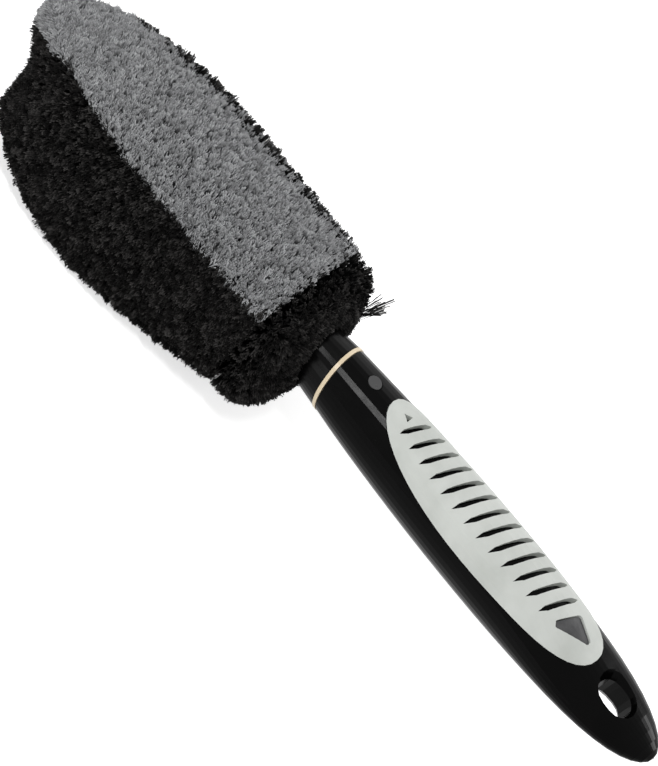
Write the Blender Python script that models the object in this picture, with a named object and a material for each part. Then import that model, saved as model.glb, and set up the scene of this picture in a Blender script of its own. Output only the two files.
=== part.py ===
"""Wheel brush: a bristled head on a moulded core, joined to a gloss handle with a soft grip pad.

Metres, +Z up. The brush lies along X with the handle towards +X, its grip pad and grey bristles up.
Every piece is built about the handle's axis, with X = 0 at the neck joint, and the whole brush hangs
from one empty that puts the origin under the middle of the brush, at the lowest bristle tips.
"""
import math

import bmesh
import bpy
from mathutils import Matrix, Vector

# ---------------------------------------------------------------- clearances and resolution
GAP = 0.0003                # between pieces that seat on each other
RUN_CLEARANCE = 0.0004      # between a hole and what passes through it
CUT_MARGIN = 0.002          # how far a cutter runs past the face it opens
ROUND_STEPS = 40            # points round the handle, collar and ring
SMALL_STEPS = 20            # points round the screw, plug and their holes
SMOOTH_ANGLE = math.radians(35.0)   # edges blunter than this are shaded smooth

# ---------------------------------------------------------------- handle
HANDLE_LENGTH = 0.1694      # neck joint to the end of the dome
HANDLE_NECK_RADIUS = 0.0127
GRIP_RADIUS = 0.0162        # thickest place
GRIP_BELLY_X = 0.0821       # where the handle is thickest
DOME_FULLNESS = 3.3         # power of the curve from the belly to the dome
FLAT_FROM_END = 0.0838      # the handle flattens from this far short of its end
FLAT_RUN = 0.065
FLAT_HEIGHT_SHARE = 0.55    # height of the flattened end against its round height
FLAT_WIDTH_SHARE = 1.20     # width of the flattened end against its round width
HANDLE_WALL = 0.0042
BORE_DEPTH = 0.046          # straight bore that takes the tang
CAVITY_FROM_END = 0.0574
CAVITY_STATIONS = 5
DOME_STATIONS = 14
GRIP_STATIONS = 9

# ---------------------------------------------------------------- hang hole
HANG_HOLE_FROM_END = 0.0248
HANG_HOLE_LENGTH = 0.0150
HANG_HOLE_WIDTH = 0.0118
HANG_HOLE_FLARE = 0.0020    # how much wider the mouth is than the throat, each side
HANG_THROAT_HALF = 0.0042   # half the height of the straight throat
HANG_FLARE_RISE = 0.0034    # height over which the mouth opens

# ---------------------------------------------------------------- neck
NECK_SLANT = math.radians(15.5)   # the joint leans towards the head at the top
NECK_BLEND = 0.020                # length over which the lean fades out
RING_WIDTH = 0.0014
RING_PROUD = 0.0002
COLLAR_FRONT_RADIUS = 0.0100
COLLAR_STATIONS = 6
TANG_RADIUS = 0.0075
TANG_END_X = 0.0430

# ---------------------------------------------------------------- lock screw and its plug
LOCK_X = 0.0086
PLUG_RADIUS = 0.00275
PLUG_THICKNESS = 0.0014
SCREW_HEAD_RADIUS = 0.0024
SCREW_HEAD_HEIGHT = 0.0014
SCREW_SHANK_RADIUS = 0.0014
SCREW_POINT_RADIUS = 0.0006
SCREW_LENGTH = 0.0110
SCREW_SOCKET_RADIUS = 0.0012
SCREW_SOCKET_DEPTH = 0.0007
SOCKET_SIDES = 6

# ---------------------------------------------------------------- grip pad
PAD_START_X = 0.0176
PAD_FROM_END = 0.0389       # from the pad to the end of the dome
PAD_HALF_ANGLE = math.radians(69.0)
PAD_FULLNESS = 2.2
PAD_PROUD = 0.0004
PAD_THICKNESS = 0.0022
PAD_STATIONS = 26
PAD_ACROSS = 12
SLOT_COUNT = 13
SLOT_FROM_PAD_START = 0.0125
SLOT_BEFORE_BADGE = 0.0052
SLOT_WIDTH = 0.0021
SLOT_FULLNESS = 6.0         # power of the curve of a slot's long edges
SLOT_REACH = 0.55           # slot half angle against the pad's half angle there
SLOT_SLANT = math.radians(19.0)
SLOT_STEPS = 6
ARROW_FROM_PAD_START = 0.0056
ARROW_LENGTH = 0.0030
ARROW_HALF_WIDTH = 0.0018
BADGE_FROM_PAD_END = 0.0178
BADGE_LENGTH = 0.0132
BADGE_HALF_WIDTH = 0.0064
BADGE_ASIDE = 0.0016        # how far the badge's front edge sits to the left of the pad's middle
BADGE_SLANT = math.radians(23.6)
BADGE_SKEW = 0.0009         # how far its point sits to the right of the middle
BADGE_CORNER = 0.0011
BADGE_BELOW_PAD = 0.0007
BADGE_INNER_RING = 0.5      # size of the inner ring of points against the outline

# ---------------------------------------------------------------- head core
CORE_Z = -0.0100            # middle of the core, below the handle's axis
CORE_HALF_WIDTH = 0.0120
CORE_HALF_HEIGHT = 0.0090
CORE_FRONT_X = -0.1420
CORE_SQUARENESS = 8.0
CORE_NOSE_STEP = 0.0015
CORE_STEPS = 32
FLANGE_FRONT_X = -0.0311
FLANGE_THICKNESS = 0.0030
FLANGE_Z = -0.0030
FLANGE_HALF_WIDTH = 0.0170
FLANGE_HALF_HEIGHT = 0.0180
FLANGE_SQUARENESS = 2.6

# ---------------------------------------------------------------- bristle envelope
TIP_NOSE_X = -0.1660        # foremost tips
TIP_FRONT_X = -0.1515       # where the long fields end and the nose field begins
TIP_HEEL_X = -0.0095        # rearmost tips, round the collar
CROWN_X = -0.0920           # fullest place
NOSE_MIDDLE_X = -0.1640     # where the long fields would close if they ran on
NOSE_PEAK = 3.0             # power that carries the nose's foremost place up towards the top
NOSE_BOW_POWER = 1.6        # how narrow the nose's forward bow is
NOSE_TOP_SHARE = 0.90       # how far the top of the nose reaches against its foremost place
TIP_NOSE_Z = 0.0060         # the nose tips up to this height
TIP_TOP_Z = 0.0200
TIP_BOTTOM_Z = -0.0400
TIP_TOP_HALF_WIDTH = 0.0283
TIP_HALF_WIDTH = 0.0320
TIP_CORNER_RADIUS = 0.0080
HEEL_RISE = 0.0095          # the underside rises by this to the heel
HEEL_NARROWING = 0.0045     # each side draws in by this to the heel
HEEL_ROUNDING = 0.0060      # the lower corners grow rounder by this to the heel
HEEL_BLUNTNESS = 0.6        # power of the curve from the heel's rim to the collar
HEEL_SLANT = 0.0055         # the heel ends this much sooner at its top than at its bottom
NOSE_BLUNTNESS = 2.3        # power of the curve from the crown to the nose
NOSE_TOP_BLUNTNESS = 1.8    # the same for the width of the grey top
NOSE_HEIGHT_BLUNTNESS = 3.0 # and for its height
TOP_CROWN = 0.0010
REST_CUT = 0.0005           # depth of the flat that the brush stands on
RIM_SEARCH_STEP = 0.0002

# ---------------------------------------------------------------- bristle fields
SLICE_THICKNESS = 0.0015
FIELD_COLUMN_COUNT = 15
FIELD_ROW_COUNT = 5
NOSE_COLUMN_COUNT = 5
NOSE_ROW_COUNT = 5
HEEL_COLUMN_COUNT = 18
HEEL_ROW_COUNT = 2
HEEL_INNER_GAP = 0.0011     # between the collar and the heel bristles
TIP_GAP = 0.0009            # half the gap between neighbouring tips
ROOT_INSET = 0.24           # share of a root cell left bare on each side

FLAT_START_X = HANDLE_LENGTH - FLAT_FROM_END
CAVITY_END_X = HANDLE_LENGTH - CAVITY_FROM_END
HANG_HOLE_X = HANDLE_LENGTH - HANG_HOLE_FROM_END
PAD_END_X = HANDLE_LENGTH - PAD_FROM_END
ARROW_X = PAD_START_X + ARROW_FROM_PAD_START
BADGE_X = PAD_END_X - BADGE_FROM_PAD_END
SLOT_FIRST_X = PAD_START_X + SLOT_FROM_PAD_START
SLOT_PITCH = (BADGE_X - SLOT_BEFORE_BADGE - SLOT_FIRST_X) / (SLOT_COUNT - 1)
BRUSH_MIDDLE_X = (TIP_NOSE_X + HANDLE_LENGTH) / 2
REST_Z = TIP_BOTTOM_Z + REST_CUT
NECK_FACE_X = 0.0
RING_REAR_X = NECK_FACE_X - GAP
RING_FRONT_X = RING_REAR_X - RING_WIDTH
COLLAR_REAR_X = RING_FRONT_X - GAP
FLANGE_REAR_X = FLANGE_FRONT_X + FLANGE_THICKNESS
SLICE_FRONT_X = CORE_FRONT_X + CORE_NOSE_STEP
SLICE_REAR_X = FLANGE_FRONT_X - GAP
TIP_REAR_X = SLICE_REAR_X   # where the long fields end and the heel field begins
COLLAR_FRONT_X = FLANGE_REAR_X + GAP


def lerp(a, b, share):
    return a + (b - a) * share


def smooth(share):
    share = min(1.0, max(0.0, share))
    return share * share * (3.0 - 2.0 * share)


# ---------------------------------------------------------------- materials
def material(name, colour, roughness, metallic=0.0):
    made = bpy.data.materials.new(name)
    made.use_nodes = True
    shader = made.node_tree.nodes["Principled BSDF"]
    shader.inputs["Base Color"].default_value = (*colour, 1.0)
    shader.inputs["Roughness"].default_value = roughness
    shader.inputs["Metallic"].default_value = metallic
    made.diffuse_color = (*colour, 1.0)
    return made


def make_materials():
    return {
        "gloss_black": material("gloss_black", (0.012, 0.012, 0.013), 0.12),
        "core_black": material("core_black", (0.02, 0.02, 0.02), 0.55),
        "ring_cream": material("ring_cream", (0.76, 0.66, 0.50), 0.35),
        "pad_grey": material("pad_grey", (0.60, 0.62, 0.60), 0.6),
        "badge_grey": material("badge_grey", (0.10, 0.10, 0.10), 0.4),
        "bristle_grey": material("bristle_grey", (0.17, 0.175, 0.18), 0.75),
        "bristle_black": material("bristle_black", (0.012, 0.012, 0.012), 0.7),
        "screw_steel": material("screw_steel", (0.55, 0.56, 0.58), 0.3, 1.0),
    }


# ---------------------------------------------------------------- mesh helpers
def add_object(name, bm, skin, parent, smooth_angle=None):
    bmesh.ops.recalc_face_normals(bm, faces=bm.faces)
    mesh = bpy.data.meshes.new(name)
    bm.to_mesh(mesh)
    bm.free()
    mesh.materials.append(skin)
    if smooth_angle is not None:
        mesh.shade_smooth()
        mesh.set_sharp_from_angle(angle=smooth_angle)
    made = bpy.data.objects.new(name, mesh)
    bpy.context.scene.collection.objects.link(made)
    made.parent = parent
    return made


def hide_cutter(cutter):
    cutter.hide_render = True
    cutter.display_type = "WIRE"


def cut(target, cutter):
    hide_cutter(cutter)
    modifier = target.modifiers.new(cutter.name, "BOOLEAN")
    modifier.operation = "DIFFERENCE"
    modifier.solver = "EXACT"
    modifier.object = cutter


def loft(rings):
    """A closed skin through rings of points; a ring of one point closes an end to that point."""
    bm = bmesh.new()
    loops = [[bm.verts.new(point) for point in ring] for ring in rings]
    for near, far in zip(loops, loops[1:]):
        bridge(bm, near, far)
    for end in (loops[0], loops[-1]):
        if len(end) > 1:
            bm.faces.new(end)
    return bm


def bridge(bm, near, far):
    count = max(len(near), len(far))
    for i in range(count):
        j = (i + 1) % count
        if len(near) == 1:
            bm.faces.new((near[0], far[i], far[j]))
        elif len(far) == 1:
            bm.faces.new((near[i], near[j], far[0]))
        else:
            bm.faces.new((near[i], near[j], far[j], far[i]))


def tube(rings):
    """A closed skin through rings whose last ring joins back to the first."""
    bm = bmesh.new()
    loops = [[bm.verts.new(point) for point in ring] for ring in rings]
    for near, far in zip(loops, loops[1:] + loops[:1]):
        bridge(bm, near, far)
    return bm


def superellipse(x, centre_z, half_width, half_height, squareness, steps):
    ring = []
    for i in range(steps):
        turn = 2 * math.pi * i / steps
        y, z = superellipse_point(turn, half_width, half_height, squareness)
        ring.append(Vector((x, y, centre_z + z)))
    return ring


def superellipse_point(turn, half_width, half_height, squareness):
    side = math.copysign(abs(math.sin(turn)) ** (2 / squareness), math.sin(turn))
    rise = math.copysign(abs(math.cos(turn)) ** (2 / squareness), math.cos(turn))
    return half_width * side, half_height * rise


def upright_cylinder(radius, bottom_z, top_z, steps):
    bm = bmesh.new()
    bmesh.ops.create_cone(
        bm, cap_ends=True, segments=steps, radius1=radius, radius2=radius, depth=top_z - bottom_z,
        matrix=Matrix.Translation((0, 0, (top_z + bottom_z) / 2)))
    return bm


# ---------------------------------------------------------------- neck lean
def neck_lean(x, z):
    """How far a point at station x and height z moves along X for the slanted joint."""
    if x > NECK_FACE_X:
        beyond = x - NECK_FACE_X
    else:
        beyond = max(0.0, COLLAR_REAR_X - x)
    fade = max(0.0, 1.0 - beyond / NECK_BLEND) ** 2
    return -math.tan(NECK_SLANT) * z * fade


def neck_ring(x, radius):
    ring = []
    for i in range(ROUND_STEPS):
        turn = 2 * math.pi * i / ROUND_STEPS
        z = radius * math.cos(turn)
        ring.append(Vector((x + neck_lean(x, z), radius * math.sin(turn), z)))
    return ring


# ---------------------------------------------------------------- handle
def handle_radius(x):
    if x < GRIP_BELLY_X:
        share = 1.0 - x / GRIP_BELLY_X
        return GRIP_RADIUS - (GRIP_RADIUS - HANDLE_NECK_RADIUS) * share * share
    share = min(1.0, (x - GRIP_BELLY_X) / (HANDLE_LENGTH - GRIP_BELLY_X))
    return GRIP_RADIUS * math.sqrt(max(0.0, 1.0 - share ** DOME_FULLNESS))


def handle_half_sizes(x):
    flat = smooth((x - FLAT_START_X) / FLAT_RUN)
    radius = handle_radius(x)
    return radius * lerp(1.0, FLAT_WIDTH_SHARE, flat), radius * lerp(1.0, FLAT_HEIGHT_SHARE, flat)


def handle_point(x, turn, out=0.0):
    """A point on the handle's skin, turned from the top towards +Y, moved out by the given amount."""
    half_width, half_height = handle_half_sizes(x)
    z = (half_height + out) * math.cos(turn)
    return Vector((x + neck_lean(x, z), (half_width + out) * math.sin(turn), z))


def handle_ring(x, out=0.0):
    return [handle_point(x, 2 * math.pi * i / ROUND_STEPS, out) for i in range(ROUND_STEPS)]


def handle_shell(skins, parent):
    bore = TANG_RADIUS + RUN_CLEARANCE
    rings = []
    for step in range(CAVITY_STATIONS):
        x = lerp(CAVITY_END_X, BORE_DEPTH, step / CAVITY_STATIONS)
        rings.append(handle_ring(x, -HANDLE_WALL))
    rings.append(neck_ring(BORE_DEPTH, bore))
    rings.append(neck_ring(NECK_BLEND, bore))
    rings.append(neck_ring(NECK_FACE_X, bore))
    rings.append(handle_ring(NECK_FACE_X))
    for step in range(1, GRIP_STATIONS + 1):
        rings.append(handle_ring(GRIP_BELLY_X * step / GRIP_STATIONS))
    for step in range(1, DOME_STATIONS):
        share = math.sin(0.5 * math.pi * step / DOME_STATIONS)
        rings.append(handle_ring(lerp(GRIP_BELLY_X, HANDLE_LENGTH, share)))
    rings.append([Vector((HANDLE_LENGTH, 0, 0))])
    shell = add_object("handle_shell", loft(rings), skins["gloss_black"], parent, SMOOTH_ANGLE)
    cut(shell, pad_recess_cutter(skins, parent))
    cut(shell, hang_hole_cutter(skins, parent))
    cut(shell, plug_pocket_cutter(skins, parent))
    cut(shell, screw_hole_cutter(skins, parent))
    return shell


def stadium(length, width, z, x, steps=8):
    """A rounded slot outline lying flat, with its long way along X."""
    radius = width / 2
    straight = length / 2 - radius
    points = []
    for end in (1, -1):
        for i in range(steps + 1):
            turn = math.pi * (i / steps - 0.5)
            along = end * (straight + radius * math.cos(turn))
            points.append(Vector((x + along, end * radius * math.sin(turn), z)))
    return points


def hang_hole_cutter(skins, parent):
    top = GRIP_RADIUS + CUT_MARGIN
    flare_top = HANG_THROAT_HALF + HANG_FLARE_RISE
    wide = 2 * HANG_HOLE_FLARE
    levels = [
        (-top, wide), (-flare_top, wide), (-HANG_THROAT_HALF, 0.0),
        (HANG_THROAT_HALF, 0.0), (flare_top, wide), (top, wide),
    ]
    rings = [stadium(HANG_HOLE_LENGTH + grow, HANG_HOLE_WIDTH + grow, z, HANG_HOLE_X) for z, grow in levels]
    return add_object("hang_hole_cutter", loft(rings), skins["gloss_black"], parent)


# ---------------------------------------------------------------- neck ring and collar
def neck_ring_piece(skins, parent):
    outer = HANDLE_NECK_RADIUS + RING_PROUD
    bore = TANG_RADIUS + RUN_CLEARANCE
    rings = [
        neck_ring(RING_FRONT_X, bore), neck_ring(RING_REAR_X, bore),
        neck_ring(RING_REAR_X, outer), neck_ring(RING_FRONT_X, outer),
    ]
    return add_object("neck_ring", tube(rings), skins["ring_cream"], parent, SMOOTH_ANGLE)


def collar_radius(x):
    share = (x - COLLAR_REAR_X) / (COLLAR_FRONT_X - COLLAR_REAR_X)
    return lerp(HANDLE_NECK_RADIUS, COLLAR_FRONT_RADIUS, share)


def neck_collar(skins, parent):
    bore = TANG_RADIUS + RUN_CLEARANCE
    rings = []
    for step in range(COLLAR_STATIONS + 1):
        x = lerp(COLLAR_REAR_X, COLLAR_FRONT_X, step / COLLAR_STATIONS)
        rings.append(neck_ring(x, collar_radius(x)))
    rings.append(neck_ring(COLLAR_FRONT_X, bore))
    rings.append(neck_ring(COLLAR_REAR_X - NECK_BLEND, bore))
    rings.append(neck_ring(COLLAR_REAR_X, bore))
    return add_object("neck_collar", tube(rings), skins["gloss_black"], parent, SMOOTH_ANGLE)


# ---------------------------------------------------------------- lock screw and plug
def plug_seat_z():
    """Height of the pocket's floor under the plug."""
    return handle_half_sizes(LOCK_X)[1] - PLUG_THICKNESS - GAP


def screw_seat_z():
    return plug_seat_z() - GAP - SCREW_HEAD_HEIGHT


def lock_plug(skins, parent):
    top = handle_half_sizes(LOCK_X)[1]
    bm = upright_cylinder(PLUG_RADIUS, plug_seat_z() + GAP, top, SMALL_STEPS)
    made = add_object("lock_plug", bm, skins["gloss_black"], parent, SMOOTH_ANGLE)
    made.location = (LOCK_X, 0, 0)
    return made


def plug_pocket_cutter(skins, parent):
    bm = upright_cylinder(PLUG_RADIUS + GAP, screw_seat_z(), GRIP_RADIUS + CUT_MARGIN, SMALL_STEPS)
    made = add_object("plug_pocket_cutter", bm, skins["gloss_black"], parent)
    made.location = (LOCK_X, 0, 0)
    return made


def screw_hole_cutter(skins, parent):
    bm = upright_cylinder(SCREW_SHANK_RADIUS + RUN_CLEARANCE, 0.0, screw_seat_z() + CUT_MARGIN, SMALL_STEPS)
    made = add_object("screw_hole_cutter", bm, skins["gloss_black"], parent)
    made.location = (LOCK_X, 0, 0)
    return made


def pilot_hole_cutter(skins, parent):
    bottom = screw_seat_z() - SCREW_LENGTH - RUN_CLEARANCE
    bm = upright_cylinder(SCREW_SHANK_RADIUS + GAP, bottom, TANG_RADIUS + CUT_MARGIN, SMALL_STEPS)
    made = add_object("pilot_hole_cutter", bm, skins["core_black"], parent)
    made.location = (LOCK_X, 0, 0)
    return made


def lock_screw(skins, parent):
    seat = screw_seat_z() + GAP
    top = seat + SCREW_HEAD_HEIGHT
    point = seat - SCREW_LENGTH
    levels = [
        (point, SCREW_POINT_RADIUS), (point + SCREW_SHANK_RADIUS, SCREW_SHANK_RADIUS),
        (seat, SCREW_SHANK_RADIUS), (seat, SCREW_HEAD_RADIUS), (top, SCREW_HEAD_RADIUS),
    ]
    rings = [circle(radius, z, SMALL_STEPS) for z, radius in levels]
    made = add_object("lock_screw", loft(rings), skins["screw_steel"], parent, SMOOTH_ANGLE)
    made.location = (LOCK_X, 0, 0)
    floor = top - SCREW_SOCKET_DEPTH
    bm = upright_cylinder(SCREW_SOCKET_RADIUS, floor, top + CUT_MARGIN, SOCKET_SIDES)
    socket = add_object("screw_socket_cutter", bm, skins["screw_steel"], parent)
    socket.location = (LOCK_X, 0, 0)
    cut(made, socket)
    return made


def circle(radius, z, steps):
    turns = [2 * math.pi * i / steps for i in range(steps)]
    return [Vector((radius * math.cos(turn), radius * math.sin(turn), z)) for turn in turns]


# ---------------------------------------------------------------- grip pad
def pad_half_angle(x, grow=0.0):
    """Half the angle that the pad covers at station x; grow widens its outline."""
    half_length = (PAD_END_X - PAD_START_X) / 2 + grow
    share = abs(x - (PAD_START_X + PAD_END_X) / 2) / half_length
    angle = PAD_HALF_ANGLE + grow / GRIP_RADIUS
    return angle * max(0.0, 1.0 - share ** PAD_FULLNESS) ** (1 / PAD_FULLNESS)


def wrapped_patch(columns, inner, outer):
    """A closed patch wrapped on the handle's skin, from the inner to the outer level.

    Each column is a list of (x, turn) places; an end column may hold one place, where the patch
    comes to a point. Its faces are triangles, which stay flat when slots are cut through them.
    """
    bm = bmesh.new()
    layers = []
    for out in (inner, outer):
        layer = []
        for column in columns:
            layer.append([bm.verts.new(handle_point(x, turn, out)) for x, turn in column])
        layers.append(layer)
    for layer in layers:
        for near, far in zip(layer, layer[1:]):
            strip(bm, near, far)
    lower, upper = layers
    for i in range(len(columns) - 1):
        for edge in (0, -1):
            bm.faces.new((lower[i][edge], lower[i + 1][edge], upper[i + 1][edge], upper[i][edge]))
    for end in (0, -1):
        for j in range(len(columns[end]) - 1):
            bm.faces.new((lower[end][j], lower[end][j + 1], upper[end][j + 1], upper[end][j]))
    bmesh.ops.triangulate(bm, faces=bm.faces[:])
    return bm


def strip(bm, near, far):
    count = max(len(near), len(far))
    for j in range(count - 1):
        if len(near) == 1:
            bm.faces.new((near[0], far[j], far[j + 1]))
        elif len(far) == 1:
            bm.faces.new((near[j], near[j + 1], far[0]))
        else:
            bm.faces.new((near[j], near[j + 1], far[j + 1], far[j]))


def pad_columns(grow):
    columns = []
    for i in range(PAD_STATIONS + 1):
        along = (1 - math.cos(math.pi * i / PAD_STATIONS)) / 2
        x = lerp(PAD_START_X - grow, PAD_END_X + grow, along)
        half = pad_half_angle(x, grow)
        if i in (0, PAD_STATIONS):
            columns.append([(x, 0.0)])
        else:
            columns.append([(x, lerp(-half, half, j / PAD_ACROSS)) for j in range(PAD_ACROSS + 1)])
    return columns


def pad_recess_cutter(skins, parent):
    bm = wrapped_patch(pad_columns(GAP), PAD_PROUD - PAD_THICKNESS - GAP, PAD_PROUD + CUT_MARGIN)
    return add_object("pad_recess_cutter", bm, skins["gloss_black"], parent)


def slot_columns(x):
    """A slanted slot with pointed ends, centred on the top line at station x."""
    reach = pad_half_angle(x) * SLOT_REACH
    columns = []
    for i in range(SLOT_STEPS + 1):
        share = 2 * i / SLOT_STEPS - 1
        turn = reach * share
        middle = x + turn * GRIP_RADIUS * math.tan(SLOT_SLANT)
        half = SLOT_WIDTH / 2 * math.sqrt(max(0.0, 1.0 - abs(share) ** SLOT_FULLNESS))
        if i in (0, SLOT_STEPS):
            columns.append([(middle, turn)])
        else:
            columns.append([(middle - half, turn), (middle + half, turn)])
    return columns


def arrow_columns():
    turn = ARROW_HALF_WIDTH / GRIP_RADIUS
    rear = ARROW_X + ARROW_LENGTH
    return [[(ARROW_X, 0.0)], [(rear, -turn), (rear, turn)]]


def rounded_triangle(corners, radius, steps=3):
    """The corners of a triangle replaced by arcs of the given radius."""
    outline = []
    count = len(corners)
    for i in range(count):
        here = corners[i]
        before = (corners[i - 1] - here).normalized()
        after = (corners[(i + 1) % count] - here).normalized()
        half = before.angle(after) / 2
        back = radius / math.tan(half)
        centre = here + (before + after).normalized() * (radius / math.sin(half))
        start = here + before * back - centre
        end = here + after * back - centre
        for step in range(steps + 1):
            outline.append(start.lerp(end, step / steps).normalized() * radius + centre)
    return outline


def badge_outline(grow):
    """The badge's outline as (x, distance round from the top), widened on every side by grow."""
    lean = BADGE_HALF_WIDTH * math.tan(BADGE_SLANT)
    corners = [
        Vector((BADGE_X - lean, -BADGE_HALF_WIDTH - BADGE_ASIDE)),
        Vector((BADGE_X + BADGE_LENGTH, BADGE_SKEW)),
        Vector((BADGE_X + lean, BADGE_HALF_WIDTH - BADGE_ASIDE)),
    ]
    widened = [widen_corner(corners, i, grow) for i in range(3)]
    return densify(rounded_triangle(widened, BADGE_CORNER + grow))


def widen_corner(corners, i, grow):
    here = corners[i]
    before = (corners[i - 1] - here).normalized()
    after = (corners[(i + 1) % 3] - here).normalized()
    half = before.angle(after) / 2
    return here - (before + after).normalized() * (grow / math.sin(half))


def densify(outline):
    """The outline with points added where its sides are longer than a step round the handle."""
    step = 2 * math.pi * GRIP_RADIUS / ROUND_STEPS
    result = []
    for i, here in enumerate(outline):
        following = outline[(i + 1) % len(outline)]
        pieces = max(1, math.ceil((following - here).length / step))
        result += [here.lerp(following, k / pieces) for k in range(pieces)]
    return result


def badge_body(grow, inner, outer):
    """The badge or its window: rings of its outline drawn in to a point below and above."""
    outline = badge_outline(grow)
    middle = sum(outline, Vector((0, 0))) / len(outline)

    def ring(size, out):
        places = [middle.lerp(place, size) for place in outline]
        return [handle_point(place.x, place.y / GRIP_RADIUS, out) for place in places]

    centre_turn = middle.y / GRIP_RADIUS
    bm = loft([
        [handle_point(middle.x, centre_turn, inner)], ring(BADGE_INNER_RING, inner), ring(1.0, inner),
        ring(1.0, outer), ring(BADGE_INNER_RING, outer), [handle_point(middle.x, centre_turn, outer)],
    ])
    bmesh.ops.triangulate(bm, faces=bm.faces[:])
    return bm


def grip_pad(skins, parent):
    bottom = PAD_PROUD - PAD_THICKNESS
    skin = skins["pad_grey"]
    body = wrapped_patch(pad_columns(0.0), bottom, PAD_PROUD)
    made = add_object("grip_pad", body, skin, parent, SMOOTH_ANGLE)
    below = bottom - CUT_MARGIN / 2
    above = PAD_PROUD + CUT_MARGIN / 2
    for i in range(SLOT_COUNT):
        bm = wrapped_patch(slot_columns(SLOT_FIRST_X + i * SLOT_PITCH), below, above)
        cut(made, add_object(f"slot_cutter_{i + 1:02d}", bm, skin, parent))
    cut(made, add_object("arrow_cutter", wrapped_patch(arrow_columns(), below, above), skin, parent))
    cut(made, add_object("window_cutter", badge_body(GAP, below, above), skin, parent))
    return made


def grip_badge(skins, parent):
    bm = badge_body(0.0, PAD_PROUD - PAD_THICKNESS, PAD_PROUD - BADGE_BELOW_PAD)
    return add_object("grip_badge", bm, skins["badge_grey"], parent, SMOOTH_ANGLE)


# ---------------------------------------------------------------- head core
def head_core(skins, parent):
    """Bristle block, heel flange and tang in one moulding."""
    block = (CORE_Z, CORE_HALF_WIDTH, CORE_HALF_HEIGHT, CORE_SQUARENESS)
    nose_half_width = CORE_HALF_WIDTH - CORE_NOSE_STEP / 2
    nose_half_height = CORE_HALF_HEIGHT - CORE_NOSE_STEP / 2
    nose = (CORE_Z, nose_half_width, nose_half_height, CORE_SQUARENESS)
    flange = (FLANGE_Z, FLANGE_HALF_WIDTH, FLANGE_HALF_HEIGHT, FLANGE_SQUARENESS)
    stations = [
        (CORE_FRONT_X, nose), (CORE_FRONT_X + CORE_NOSE_STEP, block), (FLANGE_FRONT_X, block),
        (FLANGE_FRONT_X, flange), (FLANGE_REAR_X, flange),
        (FLANGE_REAR_X, (0.0, TANG_RADIUS, TANG_RADIUS, 2.0)),
        (NECK_FACE_X, (0.0, TANG_RADIUS, TANG_RADIUS, 2.0)),
        (TANG_END_X - TANG_RADIUS / 2, (0.0, TANG_RADIUS, TANG_RADIUS, 2.0)),
        (TANG_END_X, (0.0, TANG_RADIUS / 2, TANG_RADIUS / 2, 2.0)),
    ]
    rings = [superellipse(x, *section, CORE_STEPS) for x, section in stations]
    made = add_object("head_core", loft(rings), skins["core_black"], parent, SMOOTH_ANGLE)
    cut(made, pilot_hole_cutter(skins, parent))
    return made


# ---------------------------------------------------------------- bristle envelope
def nose_share(x, bluntness=NOSE_BLUNTNESS):
    """1 behind the crown, falling along a curve to 0 at the foremost tips."""
    along = max(0.0, (CROWN_X - x) / (CROWN_X - NOSE_MIDDLE_X))
    return max(0.0, 1.0 - along ** bluntness) ** (1 / bluntness)


def heel_share(x):
    """0 at the crown, rising to 1 where the long fields end."""
    return max(0.0, (x - CROWN_X) / (TIP_REAR_X - CROWN_X))


def tip_top_z(x):
    return lerp(TIP_NOSE_Z, TIP_TOP_Z, nose_share(x, NOSE_HEIGHT_BLUNTNESS))


def tip_bottom_z(x):
    return lerp(TIP_NOSE_Z, TIP_BOTTOM_Z + HEEL_RISE * heel_share(x) ** 2, nose_share(x))


def top_half_width(x):
    return TIP_TOP_HALF_WIDTH * nose_share(x, NOSE_TOP_BLUNTNESS)


def side_half_width(x):
    return (TIP_HALF_WIDTH - HEEL_NARROWING * heel_share(x)) * nose_share(x)


def corner_radius(x):
    return (TIP_CORNER_RADIUS + HEEL_ROUNDING * heel_share(x)) * nose_share(x)


def corner_set_in(x):
    """How far the middle of a lower corner's arc lies in from the square corner."""
    return corner_radius(x) * (1.0 - math.sqrt(0.5))


def side_y(x, z):
    """Half width of the bristle envelope at station x and height z."""
    radius = corner_radius(x)
    knee = tip_bottom_z(x) + radius
    wide = side_half_width(x)
    if z < knee:
        return wide - radius + math.sqrt(max(0.0, radius ** 2 - (knee - z) ** 2))
    narrow = top_half_width(x)
    share = min(1.0, (z - knee) / (tip_top_z(x) - knee))
    return narrow + (wide - narrow) * math.sqrt(1.0 - share * share)


def bottom_z(x, y):
    """Height of the bristle envelope's underside at station x and distance y from the middle."""
    radius = corner_radius(x)
    over = max(0.0, abs(y) - (side_half_width(x) - radius))
    level = tip_bottom_z(x) + radius - math.sqrt(max(0.0, radius ** 2 - over ** 2))
    return max(level, REST_Z)


# ---------------------------------------------------------------- bristle fields
def bristle_field(root, under, tip, columns, rows, wrapped=False):
    """One slice of backing with a grid of flared four-sided bristles grown from it.

    root, under and tip give a point for (u, v), each from 0 to 1: on the slice's outer face, on its
    inner face and on the bristle envelope. A wrapped field joins u = 1 to u = 0.
    """
    bm = bmesh.new()
    loops = columns if wrapped else columns + 1
    top = [[bm.verts.new(root(i / columns, j / rows)) for j in range(rows + 1)] for i in range(loops)]
    for i in range(columns):
        for j in range(rows):
            k = (i + 1) % loops
            cell = (top[i][j], top[k][j], top[k][j + 1], top[i][j + 1])
            grow_bristle(bm, cell, root, tip, (i, j), (columns, rows))
    if wrapped:
        close_wrapped(bm, top, under, columns, rows)
    else:
        close_flat(bm, top, under, columns, rows)
    return bm


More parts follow.
